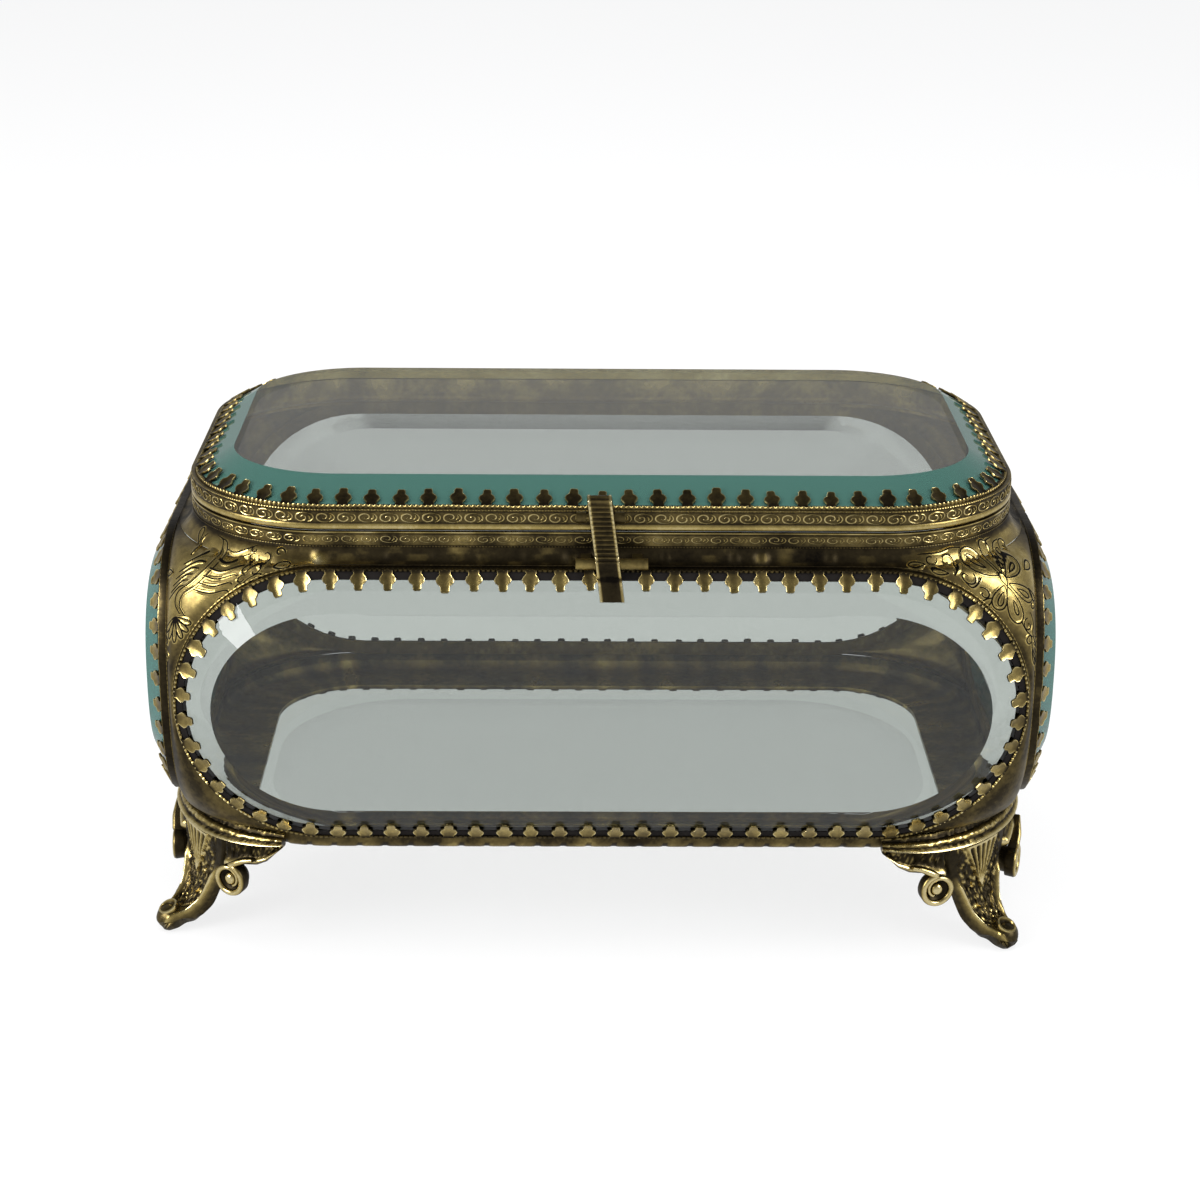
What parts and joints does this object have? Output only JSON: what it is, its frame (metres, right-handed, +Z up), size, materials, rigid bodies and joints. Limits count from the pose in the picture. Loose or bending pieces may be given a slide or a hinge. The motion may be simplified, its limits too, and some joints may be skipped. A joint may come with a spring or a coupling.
{
  "type": "glass casket box",
  "caption": "Footed keepsake casket with bevelled glass panels in pronged brass strips, a hinged glass lid and a swinging hasp.",
  "frame": {"origin": "middle of the footprint, on the table under the feet", "axes": "+X to the right along the long front, -Y out of the front, +Z up"},
  "size_m": [0.1658, 0.1016, 0.0889],
  "materials": {
    "brass": "antiqued, worn bright on high edges",
    "dark_brass": "darkened, satin",
    "bright_brass": "lightly aged, satin",
    "glass": "polished, green-tinted edge"
  },
  "bodies": {
    "case": {"rim": "brass", "case_hinge_leaf": "brass", "hinge_pin": "bright_brass", "catch_tube": "bright_brass", "catch_legs": "dark_brass", "corner_front_left": "dark_brass", "corner_front_right": "dark_brass", "corner_rear_left": "dark_brass", "corner_rear_right": "dark_brass", "front_ledge": "dark_brass", "rear_ledge": "dark_brass", "left_ledge": "dark_brass", "right_ledge": "dark_brass", "front_glass": "glass", "rear_glass": "glass", "left_glass": "glass", "right_glass": "glass", "front_strip": "bright_brass", "rear_strip": "bright_brass", "left_strip": "bright_brass", "right_strip": "bright_brass", "base_frame": "dark_brass", "base_glass": "glass", "base_strip": "bright_brass", "foot_front_left": "brass", "foot_front_right": "brass", "foot_rear_left": "brass", "foot_rear_right": "brass"},
    "lid": {"lid_band": "brass", "lid_ledge": "dark_brass", "lid_glass": "glass", "lid_strip": "bright_brass", "lid_hinge_leaf": "brass", "hasp_bracket": "brass", "hasp_pin": "bright_brass"},
    "hasp": {"hasp_strap": "brass"}
  },
  "joints": [
    {"name": "lid_hinge", "type": "hinge", "parent": "case", "child": "lid", "pos_m": [0, 0.04505, 0.081], "axis": [-1, 0, 0], "range_deg": [0, 105]},
    {"name": "hasp_swing", "type": "hinge", "parent": "lid", "child": "hasp", "pos_m": [0, -0.0456, 0.0844], "axis": [-1, 0, 0], "range_deg": [0, 60]}
  ]
}
